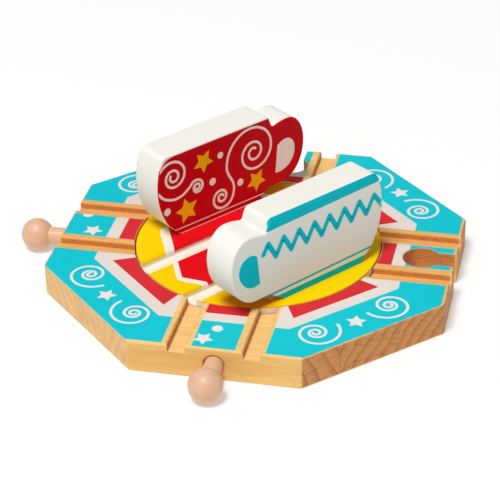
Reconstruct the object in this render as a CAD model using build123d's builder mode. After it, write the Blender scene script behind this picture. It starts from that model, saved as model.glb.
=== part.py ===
# Wooden toy-railway turntable: an octagonal crossing with a spinning disc that
# carries two tea-cup shaped slabs, one either side of the disc's own track.
#
# Millimetres, +Z up.  The origin is on the disc's axis, on the ground under the
# base.  The base's four track ends face +X, -X, +Y and -Y.  The disc and its
# cups are drawn at their rest angle, turned by rest_angle from the +X track.

import os

from build123d import *

# ---- driving dimensions ------------------------------------------------------

base_across_flats = 145.2
base_thickness = 12.3
base_corner_radius = 2.0
base_edge_radius = 0.8

track_half_spacing = 13.1  # each groove's centre, from the middle of the track
groove_width = 6.0
groove_depth = 2.8
groove_lip_radius = 1.1

disc_radius = 44.8
disc_thickness = 6.0
disc_edge_radius = 0.4
recess_radius = 45.3
recess_rim_chamfer = 0.3
rest_angle = 52.0

glide_inner_radius = 12.0
glide_outer_radius = 24.0
glide_thickness = 0.5
axial_play = 0.1

# Plugs and sockets that join one piece of track to the next
plug_ball_radius = 6.0
plug_neck_radius = 3.2
plug_reach = 12.3  # ball centre, out from the base's end face
plug_bore_depth = 14.0
plug_bore_chamfer = 0.8
socket_inset = 12.3  # hole centre, in from the end face
socket_hole_radius = 6.8
socket_slot_width = 8.6
socket_rim_chamfer = 0.5

# Centre pivot: a shoulder screw driven up into the disc from underneath
pivot_pocket_radius = 7.0
pivot_pocket_depth = 2.8
bush_radius = 4.0
shoulder_radius = 2.5
pivot_thread_radius = 1.75
pivot_thread_length = 4.6
pivot_head_radius = 4.5
pivot_head_thickness = 1.4
pivot_washer_radius = 5.5
pivot_washer_thickness = 0.6

# Tea cups, measured along the slab from the disc's axis (positive towards the
# handle) and up from the disc
cup_height = 34.0
cup_thickness = 13.5
cup_inner_offset = 22.65  # inner face, out from the middle of the disc's track
cup_edge_radius = 0.7
cup_foot = (-18.3, 18.8)
cup_top = (-24.9, 24.6)
cup_belly = (-27.7, 18.5)  # furthest point of the closed side
cup_heel = (-23.2, 5.1)  # where the closed side meets the splayed foot
handle_notch = (26.4, 29.0)
handle_crest = (34.0, 30.4)
handle_sole = (31.0, 4.0)
handle_root = 24.6  # where the sole meets the splayed foot
handle_reach = 42.0
handle_waist = 19.0  # height of the handle's furthest point

# Countersunk wood screws that hold each cup from under the disc
cup_screw_spacing = 20.0
cup_screw_radius = 1.5
cup_screw_head_radius = 3.0
cup_screw_head_height = 1.6
cup_screw_length = 16.0
cup_screw_tip_length = 3.0
cup_screw_tip_radius = 0.3

driver_slot_width = 0.9
driver_slot_length = 3.6
driver_slot_depth = 0.8

fit_gap = 0.05  # radial, round glued pegs, screws and the turning shoulder
blind_gap = 0.5  # room left past the end of a peg or screw

# ---- levels and places worked out from them -------------------------------------

base_half = base_across_flats / 2
base_middle = base_thickness / 2
disc_bottom = base_thickness - disc_thickness
recess_floor = disc_bottom - glide_thickness - axial_play
washer_top = pivot_pocket_depth - axial_play
pivot_head_top = washer_top - pivot_washer_thickness
cup_middle_offset = cup_inner_offset + cup_thickness / 2

cup_headings = {"red_cup": rest_angle, "white_cup": rest_angle + 180}
cup_screw_steps = (-cup_screw_spacing / 2, cup_screw_spacing / 2)
socket_headings = (0, 90)
plug_headings = {"left_plug": 180, "front_plug": 270}


def heading(angle):
    """Horizontal direction at an angle from +X."""
    return Vector(1, 0, 0).rotate(Axis.Z, angle)


def level_plane(angle, height):
    """Horizontal plane, x along the heading."""
    return Plane((0, 0, height), x_dir=heading(angle), z_dir=(0, 0, 1))


def upright_plane(angle, height):
    """Vertical plane through the disc's axis, x along the heading and y up."""
    return Plane((0, 0, height), x_dir=heading(angle), z_dir=heading(angle - 90))


def section_plane(angle, height, distance=0):
    """Vertical plane square to the heading, y up, facing out along the heading."""
    origin = heading(angle) * distance + Vector(0, 0, height)
    return Plane(origin, x_dir=heading(angle + 90), z_dir=heading(angle))


# Cross-section of a wheel groove with rounded lips, y = 0 at the track's surface
with BuildSketch() as groove_section:
    half_width = groove_width / 2
    lip = half_width + groove_lip_radius
    with BuildLine():
        Polyline((0, groove_lip_radius), (lip, groove_lip_radius), (lip, 0))
        RadiusArc((lip, 0), (half_width, -groove_lip_radius), -groove_lip_radius)
        Polyline((half_width, -groove_lip_radius), (half_width, -groove_depth), (0, -groove_depth))
        mirror(about=Plane.YZ)
    make_face()


def cut_grooves(angle, half_length):
    """Two wheel grooves in the part being built, along a heading."""
    with BuildSketch(section_plane(angle, base_thickness)) as grooves:
        with Locations((-track_half_spacing, 0), (track_half_spacing, 0)):
            add(groove_section.sketch)
    extrude(grooves.sketch, amount=half_length, both=True, mode=Mode.SUBTRACT)


def cut_driver_cross(plane):
    """Cross recess, cut into a screw head from a plane that faces into it."""
    with BuildSketch(plane) as cross:
        Rectangle(driver_slot_length, driver_slot_width)
        Rectangle(driver_slot_width, driver_slot_length)
    extrude(cross.sketch, amount=driver_slot_depth, mode=Mode.SUBTRACT)


# ---- base --------------------------------------------------------------------

with BuildPart() as base_plate:
    with BuildSketch():
        RegularPolygon(base_half, 8, major_radius=False, rotation=22.5)
    extrude(amount=base_thickness)
    fillet(base_plate.edges().filter_by(Axis.Z), base_corner_radius)
    levels = base_plate.edges().group_by(Axis.Z)
    fillet(levels[0] + levels[-1], base_edge_radius)

    # Round recess for the disc, with a softened rim
    with BuildSketch(Plane.XY.offset(base_thickness)):
        Circle(recess_radius)
    extrude(amount=recess_floor - base_thickness, mode=Mode.SUBTRACT)
    recess_circles = base_plate.edges().filter_by(GeomType.CIRCLE).group_by(SortBy.RADIUS)[-1]
    chamfer(recess_circles.sort_by(Axis.Z)[-1], recess_rim_chamfer)

    # Wheel grooves, right across the base both ways
    for track in (0, 90):
        cut_grooves(track, base_half)

    # Keyhole sockets, open at the end face, with a softened upper rim
    for end in socket_headings:
        for widen, depth, taper in (
            (0, base_thickness, 0),
            (socket_rim_chamfer, socket_rim_chamfer, 45),
        ):
            with BuildSketch(level_plane(end, base_thickness)):
                with Locations((base_half - socket_inset, 0)):
                    Circle(socket_hole_radius + widen)
                    Rectangle(
                        2 * socket_inset,
                        socket_slot_width + 2 * widen,
                        align=(Align.MIN, Align.CENTER),
                    )
            extrude(amount=-depth, taper=taper, mode=Mode.SUBTRACT)

    # Bores for the plugs, with a countersunk mouth
    for end in plug_headings.values():
        with BuildSketch(section_plane(end, base_middle, base_half)):
            Circle(plug_neck_radius + fit_gap)
        extrude(amount=-plug_bore_depth, mode=Mode.SUBTRACT)
        with BuildSketch(section_plane(end, base_middle, base_half)):
            Circle(plug_neck_radius + plug_bore_chamfer)
        extrude(amount=-plug_bore_chamfer, taper=45, mode=Mode.SUBTRACT)

    # Screw pocket and bush hole on the pivot's axis
    with BuildSketch():
        Circle(pivot_pocket_radius)
    extrude(amount=pivot_pocket_depth, mode=Mode.SUBTRACT)
    with BuildSketch():
        Circle(bush_radius + fit_gap)
    extrude(amount=recess_floor, mode=Mode.SUBTRACT)
base_plate.part.label = "base_plate"

# ---- plugs: ball and neck turned in one piece --------------------------------------


def turned_plug(angle):
    """Plug that stands out of the base's end face along a heading."""
    neck_start = base_half - plug_bore_depth + blind_gap
    ball_centre = base_half + plug_reach
    with BuildPart() as plug:
        with BuildSketch(upright_plane(angle, base_middle)):
            with Locations((ball_centre, 0)):
                Circle(plug_ball_radius)
            with Locations((neck_start, 0)):
                Rectangle(
                    ball_centre - neck_start,
                    2 * plug_neck_radius,
                    align=(Align.MIN, Align.CENTER),
                )
            split(bisect_by=Plane.XZ)
        revolve(axis=Axis((0, 0, base_middle), heading(angle)))
    return plug.part


plugs = {}
for name, angle in plug_headings.items():
    plugs[name] = turned_plug(angle)
    plugs[name].label = name

# ---- centre pivot --------------------------------------------------------------

with BuildPart() as pivot_bush:
    with BuildSketch(Plane.XY.offset(pivot_pocket_depth)):
        Circle(bush_radius)
        Circle(shoulder_radius + fit_gap, mode=Mode.SUBTRACT)
    extrude(amount=recess_floor - pivot_pocket_depth)
pivot_bush.part.label = "pivot_bush"

with BuildPart() as pivot_washer:
    with BuildSketch(Plane.XY.offset(washer_top)):
        Circle(pivot_washer_radius)
        Circle(shoulder_radius + fit_gap, mode=Mode.SUBTRACT)
    extrude(amount=-pivot_washer_thickness)
pivot_washer.part.label = "pivot_washer"

with BuildPart() as pivot_screw:
    with BuildSketch(Plane.XY.offset(pivot_head_top)):
        Circle(pivot_head_radius)
    extrude(amount=-pivot_head_thickness)
    fillet(pivot_screw.edges().sort_by(Axis.Z)[0], pivot_head_thickness / 2)
    cut_driver_cross(Plane.XY.offset(pivot_head_top - pivot_head_thickness))
    with BuildSketch(Plane.XY.offset(pivot_head_top)):
        Circle(shoulder_radius)
    extrude(amount=disc_bottom - pivot_head_top)
    with BuildSketch(Plane.XY.offset(disc_bottom)):
        Circle(pivot_thread_radius)
    extrude(amount=pivot_thread_length)
    chamfer(pivot_screw.edges().sort_by(Axis.Z)[-1], pivot_thread_radius / 2)
pivot_screw.part.label = "pivot_screw"

with BuildPart() as glide_ring:
    with BuildSketch(Plane.XY.offset(recess_floor)):
        Circle(glide_outer_radius)
        Circle(glide_inner_radius, mode=Mode.SUBTRACT)
    extrude(amount=glide_thickness)
glide_ring.part.label = "glide_ring"

# ---- disc --------------------------------------------------------------------

with BuildPart() as turntable_disc:
    with BuildSketch(level_plane(rest_angle, disc_bottom)):
        Circle(disc_radius)
    extrude(amount=disc_thickness)
    fillet(turntable_disc.edges().sort_by(Axis.Z)[-1], disc_edge_radius)
    cut_grooves(rest_angle, disc_radius)

    # Pilot hole for the pivot screw's thread
    with BuildSketch(Plane.XY.offset(disc_bottom)):
        Circle(pivot_thread_radius + fit_gap)
    extrude(amount=pivot_thread_length + blind_gap, mode=Mode.SUBTRACT)

    # Countersunk holes for the cups' screws
    for angle in cup_headings.values():
        for step in cup_screw_steps:
            with BuildSketch(level_plane(angle, disc_bottom)):
                with Locations((step, cup_middle_offset)):
                    Circle(cup_screw_head_radius + fit_gap)
            with BuildSketch(level_plane(angle, disc_bottom + cup_screw_head_height)):
                with Locations((step, cup_middle_offset)):
                    Circle(cup_screw_radius + fit_gap)
            loft(mode=Mode.SUBTRACT)
            with BuildSketch(level_plane(angle, disc_bottom)):
                with Locations((step, cup_middle_offset)):
                    Circle(cup_screw_radius + fit_gap)
            extrude(amount=disc_thickness, mode=Mode.SUBTRACT)
turntable_disc.part.label = "turntable_disc"

# ---- tea cups and their screws -----------------------------------------------------


def tea_cup(angle):
    """Tea-cup slab beside the disc's track, its handle along the heading."""
    foot_closed, foot_handle = cup_foot
    top_closed, top_handle = cup_top
    crest_x, crest_z = handle_crest
    sole_x, sole_z = handle_sole
    softened = {
        (top_closed, cup_height): 2.5,
        (top_handle, cup_height): 2.0,
        handle_notch: 1.0,
        (handle_root, sole_z): 2.0,
        cup_heel: 4.0,
    }
    inner_face = upright_plane(angle, base_thickness).offset(-cup_inner_offset)
    with BuildPart() as cup:
        with BuildSketch(inner_face) as outline:
            with BuildLine():
                ThreePointArc(cup_heel, cup_belly, (top_closed, cup_height))
                Polyline((top_closed, cup_height), (top_handle, cup_height), handle_notch)
                TangentArc(handle_crest, handle_notch, tangent=(-1, 0))
                EllipticalCenterArc(
                    (crest_x, handle_waist),
                    handle_reach - crest_x,
                    crest_z - handle_waist,
                    start_angle=0,
                    arc_size=90,
                )
                EllipticalCenterArc(
                    (sole_x, handle_waist),
                    handle_reach - sole_x,
                    handle_waist - sole_z,
                    start_angle=270,
                    arc_size=90,
                )
                Polyline(
                    handle_sole,
                    (handle_root, sole_z),
                    (foot_handle, 0),
                    (foot_closed, 0),
                    cup_heel,
                )
            make_face()
            for corner, radius in softened.items():
                fillet(outline.vertices().sort_by_distance(corner)[0], radius)
        extrude(amount=-cup_thickness)
        outline_edges = cup.faces().filter_by(Axis((0, 0, 0), inner_face.z_dir)).edges()
        raised_edges = outline_edges.filter_by(lambda edge: edge.center().Z > base_thickness + fit_gap)
        fillet(raised_edges, cup_edge_radius)

        with BuildSketch(level_plane(angle, base_thickness)):
            with Locations(*[(step, cup_middle_offset) for step in cup_screw_steps]):
                Circle(cup_screw_radius + fit_gap)
        extrude(amount=cup_screw_length - disc_thickness + blind_gap, mode=Mode.SUBTRACT)
    return cup.part


def wood_screw(foot):
    """Countersunk wood screw, point up, its head's flat face centred on the foot point."""
    with BuildPart() as screw:
        with BuildSketch(Plane(foot, x_dir=(1, 0, 0), z_dir=(0, -1, 0))):
            with BuildLine():
                Polyline(
                    (0, 0),
                    (cup_screw_head_radius, 0),
                    (cup_screw_radius, cup_screw_head_height),
                    (cup_screw_radius, cup_screw_length - cup_screw_tip_length),
                    (cup_screw_tip_radius, cup_screw_length),
                    (0, cup_screw_length),
                    close=True,
                )
            make_face()
        revolve(axis=Axis(foot, (0, 0, 1)))
        cut_driver_cross(Plane(foot, x_dir=(1, 0, 0), z_dir=(0, 0, 1)))
    return screw.part


cups = {}
cup_screws = {}
for cup_name, angle in cup_headings.items():
    cups[cup_name] = tea_cup(angle)
    cups[cup_name].label = cup_name
    for number, step in enumerate(cup_screw_steps, start=1):
        foot = level_plane(angle, disc_bottom).from_local_coords((step, cup_middle_offset, 0))
        screw_name = f"{cup_name}_screw_{number}"
        cup_screws[screw_name] = wood_screw(foot)
        cup_screws[screw_name].label = screw_name

# ---- write the pieces ------------------------------------------------------------

os.makedirs("parts", exist_ok=True)
for piece in (base_plate, pivot_bush, pivot_washer, pivot_screw, glide_ring, turntable_disc):
    export_step(piece.part, f"parts/{piece.part.label}.step")
for name, piece in {**plugs, **cups, **cup_screws}.items():
    export_step(piece, f"parts/{name}.step")
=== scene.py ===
import math

import bmesh
import bpy
from mathutils import Matrix, Vector
from mathutils.bvhtree import BVHTree


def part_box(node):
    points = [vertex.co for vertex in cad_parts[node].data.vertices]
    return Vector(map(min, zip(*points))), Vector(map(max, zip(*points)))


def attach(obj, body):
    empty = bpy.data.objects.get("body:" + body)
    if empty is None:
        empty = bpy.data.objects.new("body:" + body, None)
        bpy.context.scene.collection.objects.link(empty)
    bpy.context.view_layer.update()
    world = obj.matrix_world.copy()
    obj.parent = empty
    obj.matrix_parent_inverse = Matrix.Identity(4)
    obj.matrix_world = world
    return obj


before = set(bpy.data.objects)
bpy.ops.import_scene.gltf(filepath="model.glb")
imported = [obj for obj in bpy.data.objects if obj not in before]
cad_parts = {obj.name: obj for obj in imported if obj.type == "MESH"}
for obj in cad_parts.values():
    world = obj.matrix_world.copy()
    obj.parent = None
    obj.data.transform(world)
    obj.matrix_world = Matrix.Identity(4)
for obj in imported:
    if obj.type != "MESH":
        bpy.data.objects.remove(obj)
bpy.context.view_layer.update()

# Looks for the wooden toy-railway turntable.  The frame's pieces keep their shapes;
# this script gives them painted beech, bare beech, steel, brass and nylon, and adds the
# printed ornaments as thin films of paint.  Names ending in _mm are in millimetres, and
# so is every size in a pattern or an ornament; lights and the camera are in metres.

MM = 0.001

# ---- sizes ---------------------------------------------------------------------

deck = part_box("base_plate")[1].z
deck_mm = deck / MM

print_wrap_mm = 0.4  # how far down a softened edge the base print reaches
print_blur_mm = 0.12  # softness of a printed edge

# Print on the base: rings that follow the octagon, set a little off the board's middle
base_print_shift_mm = -0.35
base_print_reach_mm = 71.7
base_inside_mm = 72.0  # what lies further out is on the board's outer faces
diagonal_extra_reach_mm = 0.8
bare_strip_middle_mm = 12.75  # the unpainted strips along the grooves
bare_strip_half_mm = 5.2
cyan_inner_mm = 55.5
red_outer_mm = 50.6
wedge_slope = 0.475  # side of the red corner pieces, a line from the disc's axis
track_block_half_mm = 7.6  # the strip between the two grooves of a track
rim_bare_mm = 0.35  # unpainted strip round the recess
rim_print_back_mm = 0.35  # the print's hole sits this much behind the recess
recess_radius_mm = 45.3

# Ornaments on each diagonal: spiral, star, spiral
diagonal_spiral_out_mm = 62.1
diagonal_spiral_aside_mm = 15.4
diagonal_star_out_mm = 64.2
diagonal_shifts = {225: (1.1, 77), 315: (-1.7, 97), 45: (-0.2, 113), 135: (0.5, 60)}
spiral_growth = 2.4  # radius gained in one turn
spiral_start_mm = 0.95
spiral_end_mm = 9.1
spiral_stroke_mm = 0.98
star_radius_mm = 3.75
swirl_stroke_mm = 0.98
star_waist = 0.5

# Disc and cups turn together, drawn at their rest heading
rest_heading = 52
disc_print_shift_mm = 1.44  # the print sits off the grooves by this much
band_inner_mm = 9.62
band_outer_mm = 16.42
hexagon_reach_mm = 31.7
hexagon_outline_mm = 3.2
hexagon_thin_outline_mm = 2.2  # between the grooves
hexagon_flat_end_mm = 32.0  # the outline is missing along its sides under the cups
groove_fade_mm = (0.7, 2.7)  # depths where the colours begin and end their fade
side_paint_mm = (43.95, 0.6)  # on the disc's side, paint stops this far below the deck
disc_underside_mm = 5.9  # below the deck
handle_shade_mm = (28.0, 12.0, 9.0)  # painted shade under a handle: middle along the cup, half length, half width

cup_headings = {"red_cup": rest_heading, "white_cup": rest_heading + 180}
cup_inner_mm = 22.65
cup_outer_mm = 36.15
cup_middle_mm = (cup_inner_mm + cup_outer_mm) / 2
cup_half_thickness_mm = (cup_outer_mm - cup_inner_mm) / 2

# Print on the cups, measured along the cup towards its handle and up from the disc
cup_print_wrap_mm = 0.45
red_print_top_mm = 33.5
red_print_slope = 0.0105
red_lines_mm = ((2.5, 0.45), (0.4, 0.42))  # height and width of the foot's two fine lines
red_art_shift_mm = (-0.2, -0.1)
red_corner_mm = (-20.2, 26.2)  # middle of the print's round upper corner
red_corner_radius_mm = 7.1
white_art_slope = -0.02  # the white cup's print is set a little askew
white_art_shift_mm = 0.3
brim_bottom_mm = 30.15
brim_end_mm = 26.5
brim_over_mm = 0.6  # how much further the brim reaches over the cup's outer top edge
broad_line_top_mm = 2.6
broad_line_slope = -0.0085
narrow_line_mm = (4.6, 0.9)  # height and width
zigzag_stroke_mm = 1.95
closed_edge_mm = (-27.45, 21.0)  # furthest point of the faces' closed side
closed_edge_bow = 0.0165

film_thickness_mm = 0.05
paint_gloss = 0.05  # specular level of the disc's and the cups' paint
base_print_gloss = 0.14


def ink(red, green, blue):
    """Linear colour from a paint's 0 to 255 values."""
    linear = []
    for value in (red, green, blue):
        share = value / 255
        linear.append(share / 12.92 if share < 0.04045 else ((share + 0.055) / 1.055) ** 2.4)
    return (*linear, 1)


CYAN = ink(4, 198, 210)
BASE_RED = ink(216, 42, 51)
RING_WHITE = ink(229, 219, 210)
YELLOW = ink(250, 208, 0)
YELLOW_PAINTED_SHADE = ink(226, 104, 6)
DISC_RED = ink(230, 16, 26)
DISC_WHITE = ink(246, 237, 222)
DISC_SIDE = ink(250, 238, 214)
CRIMSON = ink(211, 5, 22)
CUP_WHITE = ink(242, 239, 230)
CUP_CREAM = ink(253, 241, 230)
TEAL = ink(0, 193, 208)
GOLD = ink(255, 190, 14)
ORNAMENT_WHITE = ink(236, 229, 224)
BEECH_LIGHT = ink(246, 204, 126)
BEECH_DARK = ink(214, 154, 84)
BEECH_END = ink(221, 155, 97)
BEECH_FLECK = ink(158, 88, 36)
BEECH_LATE = ink(150, 84, 44)
BEECH_CUT_AND_SHADE = ink(212, 122, 56)
BEECH_PAINTED_LIGHT = ink(252, 220, 150)
BEECH_END_PAINTED_LIGHT = ink(244, 202, 142)
PLUG_LIGHT = ink(231, 188, 154)
PLUG_DARK = ink(212, 158, 121)
STEEL = ink(176, 176, 178)
BRASS = ink(206, 170, 96)
NYLON = ink(232, 230, 222)

# ---- materials: a small language for shader nodes ------------------------------------


class Field:
    """A number that varies over a surface, with arithmetic, so that patterns read as formulas."""

    def __init__(self, shade, socket):
        self.shade = shade
        self.socket = socket

    def __add__(self, other):
        return self.shade.math("ADD", self, other)

    def __sub__(self, other):
        return self.shade.math("SUBTRACT", self, other)

    def __mul__(self, other):
        return self.shade.math("MULTIPLY", self, other)

    def __truediv__(self, other):
        return self.shade.math("DIVIDE", self, other)

    def __pow__(self, other):
        return self.shade.math("POWER", self, other)

    def __abs__(self):
        return self.shade.math("ABSOLUTE", self)

    def inverse(self):
        return self.shade.math("SUBTRACT", 1.0, self)

    def floor(self):
        return self.shade.math("FLOOR", self)

    def fraction(self):
        return self.shade.math("FRACT", self)

    def at_least(self, other):
        return self.shade.math("MAXIMUM", self, other)

    def at_most(self, other):
        return self.shade.math("MINIMUM", self, other)

    def above(self, edge, blur=print_blur_mm):
        """1 where the field is over the edge and 0 under it, soft across blur."""
        return self.shade.math("MULTIPLY_ADD", self - edge, 1 / blur, 0.5, clamp=True)

    def below(self, edge, blur=print_blur_mm):
        return self.above(edge, blur).inverse()

    def ease(self, low, high):
        """0 under low, 1 over high, smooth between."""
        ramp = self.shade.node("MapRange", interpolation_type="SMOOTHSTEP")
        self.shade.plug(self, ramp.inputs["Value"])
        ramp.inputs["From Min"].default_value = low
        ramp.inputs["From Max"].default_value = high
        return Field(self.shade, ramp.outputs["Result"])


class Shade:
    """A material being made.  Lengths in it are millimetres in the frame at rest."""

    def __init__(self, name):
        self.material = bpy.data.materials.new(name)
        self.material.use_nodes = True
        self.tree = self.material.node_tree
        self.tree.nodes.clear()

    def node(self, kind, **settings):
        made = self.tree.nodes.new("ShaderNode" + kind)
        for key, value in settings.items():
            setattr(made, key, value)
        return made

    def plug(self, value, socket):
        """Links a field or socket, or sets a plain number or colour."""
        if isinstance(value, Field):
            value = value.socket
        if isinstance(value, bpy.types.NodeSocket):
            self.tree.links.new(value, socket)
        else:
            socket.default_value = value

    def math(self, operation, *values, clamp=False):
        made = self.node("Math", operation=operation, use_clamp=clamp)
        for value, socket in zip(values, made.inputs):
            self.plug(value, socket)
        return Field(self, made.outputs[0])

    def split(self, vector):
        made = self.node("SeparateXYZ")
        self.plug(vector, made.inputs[0])
        return [Field(self, out) for out in made.outputs]

    def place(self):
        """Position at rest, as three fields in millimetres."""
        coordinates = self.node("TexCoord")
        return [axis / MM for axis in self.split(coordinates.outputs["Object"])]

    def facing(self):
        """The surface's own direction at rest, as three fields."""
        coordinates = self.node("TexCoord")
        return self.split(coordinates.outputs["Normal"])

    def noise(self, x, y, z, detail=2.0, roughness=0.5):
        joined = self.node("CombineXYZ")
        for value, socket in zip((x, y, z), joined.inputs):
            self.plug(value, socket)
        made = self.node("TexNoise")
        self.plug(joined.outputs[0], made.inputs["Vector"])
        made.inputs["Scale"].default_value = 1.0
        made.inputs["Detail"].default_value = detail
        made.inputs["Roughness"].default_value = roughness
        return Field(self, made.outputs[0])

    def mix(self, factor, first, second):
        made = self.node("Mix", data_type="RGBA")
        self.plug(factor, made.inputs[0])
        self.plug(first, made.inputs[6])
        self.plug(second, made.inputs[7])
        return made.outputs[2]

    def finish(self, colour, roughness, relief=None, relief_mm=0.02, **constants):
        """Joins colour, roughness and relief to the surface and returns the material."""
        surface = self.node("BsdfPrincipled")
        self.plug(colour, surface.inputs["Base Color"])
        self.plug(roughness, surface.inputs["Roughness"])
        for name, value in constants.items():
            surface.inputs[name.replace("_", " ")].default_value = value
        if relief is not None:
            bump = self.node("Bump")
            bump.inputs["Distance"].default_value = relief_mm * MM
            bump.inputs["Strength"].default_value = 1.0
            self.plug(relief, bump.inputs["Height"])
            self.plug(bump.outputs[0], surface.inputs["Normal"])
        output = self.node("OutputMaterial")
        self.plug(surface.outputs[0], output.inputs["Surface"])
        return self.material


def turned(x, y, degrees):
    """The same place in axes turned by an angle about Z."""
    c = math.cos(math.radians(degrees))
    s = math.sin(math.radians(degrees))
    return x * c + y * s, y * c - x * s


# ---- materials: bare and painted wood ------------------------------------------------

board_width_mm = 42.0
first_seam_mm = -61.4
pith_aside_mm = 29.0
pith_up_mm = -9.0
ring_spacing_mm = 3.6


def board_rings(shade, along, across, up):
    """Distance and direction from each board's pith, its glue line, and its number."""
    steps = (across - first_seam_mm) / board_width_mm
    board = steps.floor()
    side = ((board / 2).fraction() * -4) + 1
    pith = (board + 0.5) * board_width_mm + first_seam_mm + side * pith_aside_mm
    aside = across - pith
    height = up - pith_up_mm
    wander = shade.noise(along / 70, across / 18, up / 18) - 0.5
    ring = ((aside * aside + height * height) ** 0.5) + wander * 6
    direction = shade.math("ARCTAN2", height, aside)
    seam = abs(steps - (steps + 0.5).floor()) * board_width_mm
    return ring, direction, seam.below(0.12, 0.15), board


def beech(shade, along, across, up, end, painted_light_ends):
    """Colour and relief of beech.

    end is 1 where a face cuts across the grain; the last argument is 1 on end faces towards -x,
    which are painted paler with fainter rings, as painted light."""
    ring, direction, seam, board = board_rings(shade, along, across, up)
    season = (ring / ring_spacing_mm).fraction()
    late_wood = (season ** 3.5) * season.below(0.97, 0.06)
    fibre = shade.noise(along / 9, across * 2.6, up * 2.6, detail=3.0, roughness=0.6)
    cloud = shade.noise(along / 40 + board * 7, across / 9, up / 9)
    ray = shade.noise(along / 1.5, across * 1.5, up * 4.0, detail=1.0)
    fleck = ray.ease(0.66, 0.74) * end.inverse()
    pore = shade.noise(along * 0.6, across * 5, up * 5, detail=2.0, roughness=0.7)

    long_face = shade.mix(fibre.ease(0.3, 0.75) * 0.45, BEECH_LIGHT, BEECH_DARK)
    long_face = shade.mix(late_wood * 0.35, long_face, BEECH_DARK)
    long_face = shade.mix(fleck * 0.55, long_face, BEECH_FLECK)
    # Painted light: end faces towards -x are painted paler, with fainter rings.
    end_face = shade.mix(painted_light_ends, BEECH_END, BEECH_END_PAINTED_LIGHT)
    ring_strength = shade.math("MULTIPLY_ADD", painted_light_ends, -0.55, 0.8)
    end_face = shade.mix(late_wood * ring_strength, end_face, BEECH_LATE)
    ray_end = shade.noise(ring / 3, direction * 55, along / 20, detail=1.0)
    end_face = shade.mix(ray_end.ease(0.52, 0.66) * ring_strength * 0.45, end_face, BEECH_LATE)
    end_face = shade.mix(pore.ease(0.45, 0.75) * 0.35, end_face, BEECH_FLECK)
    colour = shade.mix(end, long_face, end_face)
    colour = shade.mix(cloud.ease(0.35, 0.75) * 0.35, colour, BEECH_DARK)
    colour = shade.mix(seam * 0.35, colour, BEECH_FLECK)
    relief = fibre * 0.6 + pore * 0.4 - fleck * 0.5
    return colour, relief


def mottle(shade, x, y, z):
    """Slow unevenness of a coat of paint, 0 to 1."""
    return shade.noise(x / 14, y / 14, z / 14, detail=4.0, roughness=0.65)


def coat_relief(shade, x, y, z):
    """Fine relief of sprayed paint over sanded wood."""
    wood = shade.noise(x / 3, y * 1.2, z * 1.2, detail=2.0)
    spray = shade.noise(x * 1.6, y * 1.6, z * 1.6, detail=2.0)
    return wood * 0.5 + spray * 0.5


def shaded(shade, colour, amount, tone=0.78):
    """The colour a little deeper where amount is 1."""
    deeper = shade.node("Mix", data_type="RGBA", blend_type="MULTIPLY")
    shade.plug(amount, deeper.inputs[0])
    shade.plug(colour, deeper.inputs[6])
    shade.plug((tone, tone, tone, 1), deeper.inputs[7])
    return deeper.outputs[2]


def base_material():
    """Beech with the octagonal print on its deck and bare strips along the grooves."""
    shade = Shade("beech_and_base_print")
    x, y, z = shade.place()
    normal_x, _, normal_z = shade.facing()
    end = abs(normal_x).ease(0.35, 0.65)
    # End faces towards -x get the painted light of the end grain.
    wood, wood_relief = beech(shade, x, y, z, end, normal_x.below(0))

    print_x = x - base_print_shift_mm
    across = abs(print_x).at_most(abs(y))
    outward = abs(print_x).at_least(abs(y))
    octagon = outward.at_least((abs(print_x) + abs(y)) / math.sqrt(2))
    between_grooves = across.below(track_block_half_mm)
    in_corner = (across - outward * wedge_slope).above(0)
    red = octagon.below(red_outer_mm) * between_grooves.at_least(in_corner)
    colour = shade.mix(octagon.above(cyan_inner_mm), RING_WHITE, CYAN)
    colour = shade.mix(red, colour, BASE_RED)
    colour = shaded(shade, colour, mottle(shade, x, y, z).ease(0.45, 0.8) * 0.25)

    level = abs(normal_z).ease(0.15, 0.45)
    # Walls of the grooves, sockets and recess are darker orange: partly the colour of cut wood,
    # partly painted shade in these hollows.
    cut_wall_and_shade = level.inverse() * octagon.below(base_inside_mm, 0.2)
    wood = shade.mix(cut_wall_and_shade * 0.6, wood, BEECH_CUT_AND_SHADE)
    chips = shade.noise(x / 2.6, y * 1.3, z * 1.7, detail=1.0)
    wood = shade.mix(cut_wall_and_shade * chips.ease(0.52, 0.66) * 0.5, wood, BEECH_FLECK)
    along_track = (abs(x) - abs(y)).above(0) * octagon.below(base_inside_mm, 0.2)
    wood = shade.mix(along_track * 0.28, wood, BEECH_CUT_AND_SHADE)
    # Painted light: the up-facing wood of the front and back tracks is painted paler.
    painted_light_cross_track = level * (abs(y) - abs(x)).above(0)
    wood = shade.mix(painted_light_cross_track * 0.3, wood, BEECH_PAINTED_LIGHT)

    behind = y - rim_print_back_mm
    radius = (x * x + behind * behind) ** 0.5
    groove_strip = abs(across - bare_strip_middle_mm).below(bare_strip_half_mm)
    printed = z.above(deck_mm - print_wrap_mm, 0.08) * groove_strip.inverse()
    printed = printed * radius.above(recess_radius_mm + rim_bare_mm)
    ragged = (shade.noise(x / 2, y / 2, z / 2) - 0.5) * 0.5
    diagonal = (abs(print_x) + abs(y)) / math.sqrt(2) - diagonal_extra_reach_mm
    printed = printed * (outward.at_least(diagonal) + ragged).below(base_print_reach_mm)

    relief = shade.math("MULTIPLY_ADD", printed, 0.6, wood_relief * 0.5)
    roughness = shade.math("MULTIPLY_ADD", printed, -0.08, 0.56)
    surface = shade.mix(printed, wood, colour)
    return shade.finish(surface, roughness, relief, Specular_IOR_Level=base_print_gloss)


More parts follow.
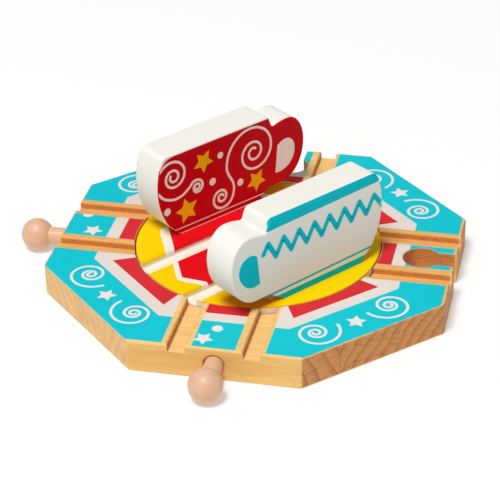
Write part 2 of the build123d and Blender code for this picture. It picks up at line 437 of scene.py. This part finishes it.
def disc_material():
    """The disc's hexagon print, set off from the grooves, fading down their far walls.

    The yellow is painted a deeper orange under the handles of the cups, as painted shade."""
    shade = Shade("disc_print")
    x, y, z = shade.place()
    along, aside = turned(x, y, rest_heading)
    print_aside = abs(aside + disc_print_shift_mm)
    hexagon = print_aside.at_least(abs(along) * math.cos(math.pi / 6) + print_aside * 0.5)
    band = print_aside.above(band_inner_mm) * print_aside.below(band_outer_mm)
    thinner = print_aside.below(band_inner_mm) * (hexagon_outline_mm - hexagon_thin_outline_mm)
    wobble = (shade.noise(x / 9, y / 9, z / 9, detail=1.0) - 0.5) * 1.8
    outlined = (hexagon + thinner + wobble).below(hexagon_reach_mm + hexagon_outline_mm)
    outlined = outlined * print_aside.below(hexagon_flat_end_mm)
    # Painted shade: the yellow turns a deeper orange in a soft patch under each cup's handle.
    handle_shade_along, handle_shade_length, handle_shade_width = handle_shade_mm
    over_along = (abs(along) - handle_shade_along) / handle_shade_length
    over_aside = (abs(aside) - cup_middle_mm) / handle_shade_width
    handle_painted_shade = (over_along * over_along + over_aside * over_aside).ease(0.3, 1.4).inverse()
    handle_painted_shade = handle_painted_shade * (along * aside).above(0)
    yellow = shade.mix(handle_painted_shade * 0.6, YELLOW, YELLOW_PAINTED_SHADE)
    colour = shade.mix(outlined, yellow, DISC_WHITE)
    colour = shade.mix(hexagon.below(hexagon_reach_mm), colour, DISC_RED)
    colour = shade.mix(band, colour, DISC_WHITE)
    spread = shade.noise(x / 3, y / 3, z / 3) * 0.5
    depth = (z - deck_mm) * -1 - spread + 0.25
    colour = shade.mix(depth.ease(*groove_fade_mm), colour, DISC_WHITE)
    colour = shaded(shade, colour, mottle(shade, x, y, z).ease(0.45, 0.8) * 0.2)
    side_radius, side_depth = side_paint_mm
    radius = (x * x + y * y) ** 0.5
    bare = radius.above(side_radius, 0.3) * z.below(deck_mm - side_depth, 0.2)
    colour = shade.mix(bare, colour, DISC_SIDE)
    colour = shade.mix(z.below(deck_mm - disc_underside_mm), colour, BEECH_LIGHT)
    relief = coat_relief(shade, x, y, z)
    return shade.finish(colour, 0.42, relief, 0.012, Specular_IOR_Level=paint_gloss)


def cup_place(shade, heading):
    """Along the cup towards its handle, out from its middle plane, and up from the disc."""
    x, y, z = shade.place()
    along, out = turned(x, y, heading)
    return along, out - cup_middle_mm, z - deck_mm


def cup_material(name, heading, design):
    """White painted wood, printed on both broad faces by a design.

    The design gives the print's colour and how far it reaches round the edge of the face."""
    shade = Shade(name)
    along, out, up = cup_place(shade, heading)
    soft = mottle(shade, along, out, up)
    print_colour, wrap = design(shade, along, out, up, soft)
    printed = (abs(out) + wrap).above(cup_half_thickness_mm, 0.1)
    white = shaded(shade, CUP_WHITE, soft.ease(0.45, 0.8) * 0.12)
    colour = shade.mix(printed, white, print_colour)
    relief = coat_relief(shade, along, out, up)
    return shade.finish(colour, 0.4, relief, 0.012, Specular_IOR_Level=paint_gloss)


def stripe(up, middle, width):
    """1 within a level line of a width round a middle height."""
    return abs(up - middle).below(width / 2)


def red_design(shade, along, out, up, soft):
    """Crimson short of the top edge and of one round corner, with two fine lines at the foot."""
    crimson = shaded(shade, CRIMSON, soft.ease(0.4, 0.8) * 0.3)
    upper_line, lower_line = red_lines_mm
    lines = stripe(up, *upper_line).at_least(stripe(up, *lower_line))
    below_top = (up - along * red_print_slope).below(red_print_top_mm)
    corner_along, corner_up = red_corner_mm
    aside = (along - corner_along).at_most(0)
    over = (up - corner_up).at_least(0)
    past_corner = ((aside * aside + over * over) ** 0.5).above(red_corner_radius_mm)
    covered = below_top * (past_corner * up.above(corner_up)).inverse()
    colour = shade.mix(lines, crimson, CUP_CREAM)
    return shade.mix(covered, CUP_WHITE, colour), cup_print_wrap_mm


def white_design(shade, along, out, up, soft):
    """A teal brim, and a broad and a narrow teal line at the foot.

    The brim reaches a little over the outer top edge, and the teal is painted darker where it faces
    up, as painted shade."""
    teal = shaded(shade, TEAL, soft.ease(0.4, 0.8) * 0.2)
    askew = up - along * white_art_slope
    brim = askew.above(brim_bottom_mm) * along.below(brim_end_mm)
    broad_line = (up - along * broad_line_slope).below(broad_line_top_mm)
    foot = broad_line.at_least(stripe(askew, *narrow_line_mm))
    over_brim = up.above(32.0) * out.above(0) * brim_over_mm
    # Painted shade: the teal is darker where the surface faces up.
    teal = shaded(shade, teal, abs(shade.facing()[2]).ease(0.3, 0.7), 0.74)
    return shade.mix(brim.at_least(foot), CUP_WHITE, teal), over_brim + cup_print_wrap_mm


def plug_material(name, axis):
    """Pale turned wood, its grain along the plug's axis."""
    shade = Shade(name)
    place = shade.place()
    along = place[axis]
    across = place[1 - axis]
    up = place[2]
    fibre = shade.noise(along / 5, across * 2.2, up * 2.2, detail=3.0, roughness=0.6)
    cloud = shade.noise(along / 6, across / 3, up / 3)
    colour = shade.mix(fibre.ease(0.35, 0.75) * 0.3, PLUG_LIGHT, PLUG_DARK)
    colour = shade.mix(cloud.ease(0.4, 0.8) * 0.4, colour, PLUG_DARK)
    return shade.finish(colour, 0.4, fibre, 0.005, Specular_IOR_Level=0.4)


def film_material(name, colour):
    """One printed colour of the ornaments."""
    shade = Shade(name)
    x, y, z = shade.place()
    toned = shaded(shade, colour, mottle(shade, x, y, z).ease(0.45, 0.8) * 0.2)
    relief = coat_relief(shade, x, y, z)
    return shade.finish(toned, 0.42, relief, 0.01, Specular_IOR_Level=paint_gloss)


def metal_material(name, colour, roughness):
    """Turned or drawn metal with fine circular marks and a little tarnish."""
    shade = Shade(name)
    x, y, z = shade.place()
    marks = shade.noise(x * 4, y * 4, z * 40, detail=2.0)
    tarnish = shade.noise(x / 2, y / 2, z / 2, detail=3.0)
    toned = shaded(shade, colour, tarnish.ease(0.45, 0.8) * 0.5, 0.6)
    return shade.finish(toned, tarnish * 0.2 + roughness, marks, 0.01, Metallic=1.0)


def nylon_material():
    """Cloudy white nylon for the glide ring."""
    shade = Shade("nylon")
    x, y, z = shade.place()
    cloud = mottle(shade, x, y, z)
    toned = shaded(shade, NYLON, cloud.ease(0.4, 0.8) * 0.3)
    return shade.finish(toned, cloud * 0.2 + 0.4, cloud, 0.01)


def dress(node, material):
    """Gives a frame piece its material."""
    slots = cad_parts[node].material_slots
    for slot in slots:
        slot.material = material


def dress_frame():
    """Gives every frame piece its material."""
    steel = metal_material("steel", STEEL, 0.28)
    dress("base_plate", base_material())
    dress("turntable_disc", disc_material())
    dress("red_cup", cup_material("red_cup_print", cup_headings["red_cup"], red_design))
    dress("white_cup", cup_material("white_cup_print", cup_headings["white_cup"], white_design))
    dress("left_plug", plug_material("plug_wood_left", 0))
    dress("front_plug", plug_material("plug_wood_front", 1))
    dress("pivot_bush", metal_material("brass", BRASS, 0.3))
    dress("glide_ring", nylon_material())
    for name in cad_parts:
        if "screw" in name or "washer" in name:
            dress(name, steel)


# ---- printed ornaments: outlines ------------------------------------------------------


def polar(centre, radius, degrees):
    """The point at a radius and angle from a centre."""
    angle = math.radians(degrees)
    return Vector((centre[0] + radius * math.cos(angle), centre[1] + radius * math.sin(angle)))


def spiral(centre, radius, start, sweep, growth):
    """Points of a spiral from a radius and angle, through a sweep in degrees.

    The radius gains growth times for each turn outwards, or loses it if growth is under 1."""
    steps = max(8, int(abs(sweep) / 9))
    points = []
    for step in range(steps + 1):
        swept = sweep * step / steps
        points.append(polar(centre, radius * growth ** (abs(swept) / 360), start + swept))
    return points


def bend(first, second, slack=0.4):
    """One path from the end of first to the start of second, smooth at both."""
    leave = (first[-1] - first[-2]).normalized()
    arrive = (second[1] - second[0]).normalized()
    start = first[-1]
    end = second[0]
    reach = (end - start).length * slack
    one = start + leave * reach
    two = end - arrive * reach
    steps = 14
    between = []
    for step in range(1, steps):
        t = step / steps
        s = 1 - t
        between.append(
            start * s ** 3 + one * 3 * s * s * t + two * 3 * s * t * t + end * t ** 3
        )
    return first + between + second


def through(points, steps=8):
    """Smooth open curve through points."""
    points = [Vector(point) for point in points]
    padded = [points[0] * 2 - points[1], *points, points[-1] * 2 - points[-2]]
    curve = []
    for before, start, end, after in zip(padded, padded[1:], padded[2:], padded[3:]):
        for step in range(steps):
            t = step / steps
            curve.append(
                (
                    start * 2
                    + (end - before) * t
                    + (before * 2 - start * 5 + end * 4 - after) * t ** 2
                    + (start * 3 - before - end * 3 + after) * t ** 3
                )
                * 0.5
            )
    curve.append(points[-1])
    return curve


def left_of(direction):
    """The direction a quarter turn to the left."""
    return Vector((-direction.y, direction.x))


def stroke(points, width, cap_start=True, cap_end=True):
    """Mesh of a line of one width with round joins and ends, as (points, faces)."""
    half = width / 2
    directions = [(b - a).normalized() for a, b in zip(points, points[1:])]
    pairs = []
    cap = [math.radians(angle) for angle in (0, 20, 40, 60, 80)]
    if cap_start:
        for angle in reversed(cap):
            middle = points[0] - directions[0] * half * math.sin(angle)
            side = left_of(directions[0]) * half * math.cos(angle)
            pairs.append((middle + side, middle - side))
    else:
        side = left_of(directions[0]) * half
        pairs.append((points[0] + side, points[0] - side))
    for before, after, point in zip(directions, directions[1:], points[1:]):
        turn = math.atan2(before.x * after.y - before.y * after.x, before.dot(after))
        inward = (left_of(before) + left_of(after)).normalized()
        corner = inward * half / math.cos(turn / 2)
        if abs(turn) < math.radians(25):
            pairs.append((point + corner, point - corner))
            continue
        sign = 1 if turn > 0 else -1
        arc_steps = 8
        for step in range(arc_steps + 1):
            angle = turn * step / arc_steps
            outer = left_of(before) * half * -sign
            outer.rotate(Matrix.Rotation(angle, 2))
            pair = (point + corner * sign, point + outer)
            pairs.append(pair if sign > 0 else (pair[1], pair[0]))
    if cap_end:
        for angle in cap:
            middle = points[-1] + directions[-1] * half * math.sin(angle)
            side = left_of(directions[-1]) * half * math.cos(angle)
            pairs.append((middle + side, middle - side))
    else:
        side = left_of(directions[-1]) * half
        pairs.append((points[-1] + side, points[-1] - side))
    corners = [corner for pair in pairs for corner in pair]
    faces = []
    for first in range(0, len(corners) - 2, 2):
        faces.append((first, first + 1, first + 3, first + 2))
    return corners, faces


def fan(outline, centre):
    """Mesh of a patch seen whole from its centre, as (points, faces)."""
    count = len(outline)
    faces = []
    for index in range(count):
        faces.append((count, index, (index + 1) % count))
    return [*outline, Vector(centre)], faces


def dot(centre, radius):
    """Mesh of a round spot."""
    outline = [polar(centre, radius, angle) for angle in range(0, 360, 12)]
    return fan(outline, centre)


def star(centre, radius, point_angle):
    """Mesh of a five-pointed star with one point at an angle."""
    outline = []
    for step in range(10):
        reach = radius if step % 2 == 0 else radius * star_waist
        outline.append(polar(centre, reach, point_angle + 36 * step))
    return fan(outline, centre)


def cut(shape, direction, limit):
    """The part of a fan short of a straight line, which lies a limit along a direction."""
    points, faces = shape
    direction = Vector(direction)
    centre = points[-1]
    outline = []
    count = len(points) - 1
    for index in range(count):
        here = points[index]
        after = points[(index + 1) % count]
        over_here = here.dot(direction) - limit
        over_after = after.dot(direction) - limit
        if over_here <= 0:
            outline.append(here)
        if over_here * over_after < 0:
            outline.append(here.lerp(after, over_here / (over_here - over_after)))
    return fan(outline, centre)


def zigzag(start, crest, trough, pitch, waves, end):
    """Corners of a zigzag that begins at a point and runs towards -x."""
    points = [Vector(start)]
    for wave in range(waves):
        points.append(Vector((crest[0] - pitch * wave, crest[1])))
        if wave < waves - 1:
            points.append(Vector((trough[0] - pitch * wave, trough[1])))
    points.append(Vector(end))
    return points


def divided(points, pieces):
    """A polyline with each run cut into equal pieces."""
    made = []
    for start, end in zip(points, points[1:]):
        made += [start.lerp(end, step / pieces) for step in range(pieces)]
    return [*made, points[-1]]


# ---- printed ornaments: films on the frame's surfaces -----------------------------------


class Face:
    """A flat place on a frame piece, with its own x and y in millimetres, to lay films on."""

    def __init__(self, node, origin, x_axis, y_axis):
        self.origin = Vector(origin)
        self.x_axis = Vector(x_axis)
        self.y_axis = Vector(y_axis)
        self.out = self.x_axis.cross(self.y_axis)
        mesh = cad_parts[node].data
        corners = [vertex.co for vertex in mesh.vertices]
        self.surface = BVHTree.FromPolygons(corners, [face.vertices for face in mesh.polygons])

    def lay(self, point):
        """Where a flat point meets the piece's surface, or None past its edge."""
        flat = self.origin + (self.x_axis * point.x + self.y_axis * point.y) * MM
        return self.surface.ray_cast(flat + self.out * 0.005, -self.out, 0.0075)[0]


def film(name, face, shapes, material, body):
    """One closed, thin piece of paint in the given flat shapes."""
    mesh = bmesh.new()
    for points, polygons in shapes:
        laid = [face.lay(point) for point in points]
        corners = [mesh.verts.new(spot) if spot else None for spot in laid]
        for polygon in polygons:
            chosen = [corners[index] for index in polygon]
            if None not in chosen:
                mesh.faces.new(chosen)
    bmesh.ops.remove_doubles(mesh, verts=mesh.verts, dist=0.002 * MM)
    for polygon in mesh.faces:
        polygon.normal_update()
        if polygon.normal.dot(face.out) < 0:
            polygon.normal_flip()
    data = bpy.data.meshes.new(name)
    mesh.to_mesh(data)
    mesh.free()
    data.materials.append(material)
    piece = bpy.data.objects.new(name, data)
    bpy.context.scene.collection.objects.link(piece)
    skin = piece.modifiers.new("thickness", "SOLIDIFY")
    skin.thickness = film_thickness_mm * MM
    skin.offset = 1
    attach(piece, body)
    return piece


def diagonal_shapes(heading, shift, star_angle):
    """Spiral, star and spiral along one diagonal of the base."""
    out = Vector((math.cos(math.radians(heading)), math.sin(math.radians(heading))))
    aside = left_of(out)
    turns = math.log(spiral_end_mm / spiral_start_mm) / math.log(spiral_growth)
    shapes = []
    for side in (-1, 1):
        centre = out * diagonal_spiral_out_mm + aside * (shift + side * diagonal_spiral_aside_mm)
        tail = heading - side * 90
        path = spiral(centre, spiral_end_mm, tail, side * 360 * turns, 1 / spiral_growth)
        shapes.append(stroke(path, spiral_stroke_mm))
    shapes.append(star(out * diagonal_star_out_mm + aside * shift, star_radius_mm, star_angle))
    return shapes


def base_ornaments():
    """The diagonals' spirals and stars, and a star and a dot between two tracks' grooves."""
    face = Face("base_plate", (0, 0, deck), (1, 0, 0), (0, 1, 0))
    shapes = []
    for heading, (shift, star_angle) in diagonal_shifts.items():
        shapes += diagonal_shapes(heading, shift, star_angle)
    block_side = bare_strip_middle_mm - bare_strip_half_mm
    shapes.append(star((-61.9, -3.65), 3.8, -1.5))
    shapes.append(cut(dot((-66.85, 7.45), 2.0), (0, 1), block_side))
    front_star = star((-4.9, -66.6), 3.7, 62)
    shapes.append(cut(front_star, (-1, 0), block_side - base_print_shift_mm))
    shapes.append(dot((-1.5, -59.8), 1.9))
    white = film_material("ornament_white", ORNAMENT_WHITE)
    film("base_ornaments", face, shapes, white, "base")


def cup_face(name, outer):
    """The printed face of a cup, x towards the handle and y up from the disc."""
    heading = math.radians(cup_headings[name])
    along = Vector((math.cos(heading), math.sin(heading), 0))
    out = Vector((-math.sin(heading), math.cos(heading), 0))
    offset = cup_outer_mm if outer else cup_inner_mm
    face = Face(name, out * offset * MM + Vector((0, 0, deck)), along, (0, 0, 1))
    face.out = out if outer else -out
    return face


def red_swirls():
    """The two swirls, each a large and a small spiral joined by a bend."""
    large = spiral((17.3, 21.8), 1.75, 60, 840, 2.35)
    small = spiral((1.45, 8.6), 5.85, 0, -690, 1 / 2.55)
    medium = spiral((-20.5, 24.85), 1.4, 150, 722, 2.27)
    sweep = through([(-27.6, 20.35), (-25, 17.4), (-21, 15.7), (-17, 15.9), (-13.5, 17.9)])
    curl = spiral((-9.7, 17.0), 3.2, 118, -620, 1 / 2.2)
    return [
        stroke(bend(large, small, 0.45), swirl_stroke_mm),
        stroke(medium, swirl_stroke_mm, cap_end=False),
        stroke(bend(sweep, curl), swirl_stroke_mm, cap_start=False),
    ]


def moved(shape, shift, slope=0.0):
    """A flat shape slid and set askew."""
    points, faces = shape
    placed = [Vector((p.x + shift[0], p.y + shift[1] + slope * p.x)) for p in points]
    return placed, faces


def stopped(shape):
    """A shape on a cup's face, with what would pass the face's closed side drawn back to it."""
    points, faces = shape
    edge, height = closed_edge_mm
    kept = []
    for point in points:
        limit = edge + closed_edge_bow * (point.y - height) ** 2
        kept.append(Vector((max(point.x, limit), point.y)))
    return kept, faces


def red_ornaments(face, suffix, cream, gold):
    """Swirls, dots, handle patch and stars on one face of the red cup."""
    dots = [
        dot((1.4, 26.2), 1.35),
        dot((-2.5, 16.6), 1.5),
        dot((-23.8, 11.6), 1.5),
        dot((10.6, 11.5), 1.45),
    ]
    curve = through(
        [(28.9, 20.6), (31.0, 21.8), (33.6, 22.2), (36.1, 20.8), (37.3, 18.0)]
        + [(36.9, 14.2), (34.5, 10.8), (31.0, 9.3), (27.8, 9.3)]
    )
    patch = fan(curve, (31.5, 15.5))
    stars = [star((-6.5, 26.4), 4.7, -89), star((18.4, 9.5), 4.7, -91), star((-14.8, 9.1), 5.3, 101)]
    pale = [moved(shape, red_art_shift_mm) for shape in [*red_swirls(), *dots, patch]]
    pale = [stopped(shape) for shape in pale]
    stars = [moved(shape, red_art_shift_mm) for shape in stars]
    film("red_cup_swirls_" + suffix, face, pale, cream, "turntable")
    film("red_cup_stars_" + suffix, face, stars, gold, "turntable")


def white_ornaments(face, suffix, teal):
    """Zigzag and handle patch on one face of the white cup."""
    corners = zigzag((27.3, 22.0), (25.2, 25.4), (21.7, 19.2), 7.0, 8, (-28.4, 19.3))
    line = stroke(divided(corners, 6), zigzag_stroke_mm, cap_end=False)
    curve = through(
        [(30.1, 22.4), (31.6, 23.5), (34.2, 23.7), (36.9, 22.2), (38.2, 19.0)]
        + [(37.6, 15.6), (35.4, 12.4), (32.2, 10.9), (29.0, 11.2)]
    )
    patch = fan(curve, (33.0, 17.3))
    shapes = [moved(shape, (white_art_shift_mm, 0), white_art_slope) for shape in (line, patch)]
    shapes = [stopped(shape) for shape in shapes]
    film("white_cup_zigzag_" + suffix, face, shapes, teal, "turntable")


def cup_ornaments():
    cream = film_material("ornament_cream", CUP_CREAM)
    gold = film_material("ornament_gold", GOLD)
    teal = film_material("ornament_teal", TEAL)
    for suffix, outer in (("inner", False), ("outer", True)):
        red_ornaments(cup_face("red_cup", outer), suffix, cream, gold)
        white_ornaments(cup_face("white_cup", outer), suffix, teal)


# ---- studio -----------------------------------------------------------------------------

camera_lens = 141.93
camera_eye = (0.134615, -0.606125, 0.380596)
camera_azimuth = 12.81
camera_tilt = 59.07
camera_roll = -1.10
sky_light = 0.29
key_direction = (-0.12, -0.375, 0.917)
key_distance = 3.0
key_size = 1.0
key_power = 73.0
floor_glow = 0.3
floor_tone = 0.71


def make_camera():
    data = bpy.data.cameras.new("camera")
    data.lens = camera_lens
    data.sensor_width = 36
    camera = bpy.data.objects.new("camera", data)
    bpy.context.scene.collection.objects.link(camera)
    turn = Matrix.Rotation(math.radians(camera_azimuth), 4, "Z")
    tilt = Matrix.Rotation(math.radians(camera_tilt), 4, "X")
    roll = Matrix.Rotation(math.radians(camera_roll), 4, "Z")
    camera.matrix_world = Matrix.Translation(camera_eye) @ turn @ tilt @ roll
    bpy.context.scene.camera = camera


def make_lights():
    """An even sky and one large soft light from above the camera's side."""
    world = bpy.data.worlds.new("studio")
    world.use_nodes = True
    world.node_tree.nodes["Background"].inputs["Color"].default_value = (1, 1, 1, 1)
    world.node_tree.nodes["Background"].inputs["Strength"].default_value = sky_light
    bpy.context.scene.world = world
    data = bpy.data.lights.new("key", "AREA")
    data.size = key_size
    data.energy = key_power
    key = bpy.data.objects.new("key", data)
    bpy.context.scene.collection.objects.link(key)
    direction = Vector(key_direction).normalized()
    key.location = direction * key_distance
    key.rotation_mode = "QUATERNION"
    key.rotation_quaternion = direction.to_track_quat("Z", "Y")


def floor_material():
    """Pale paper with a faint grain and a little light of its own."""
    shade = Shade("pale_floor")
    x, y, z = shade.place()
    grain = shade.noise(x / 5, y / 5, z / 5, detail=3.0)
    toned = shaded(shade, (floor_tone, floor_tone, floor_tone, 1), grain * 0.04)
    return shade.finish(toned, 0.9, Emission_Color=(1, 1, 1, 1), Emission_Strength=floor_glow)


def make_floor():
    """A plain pale floor, for the picture only."""
    mesh = bmesh.new()
    bmesh.ops.create_grid(mesh, x_segments=8, y_segments=8, size=12.0)
    data = bpy.data.meshes.new("floor")
    mesh.to_mesh(data)
    mesh.free()
    data.materials.append(floor_material())
    floor = bpy.data.objects.new("floor", data)
    bpy.context.scene.collection.objects.link(floor)


bpy.context.scene.view_settings.view_transform = "Standard"
make_camera()
make_lights()
make_floor()
dress_frame()
base_ornaments()
cup_ornaments()
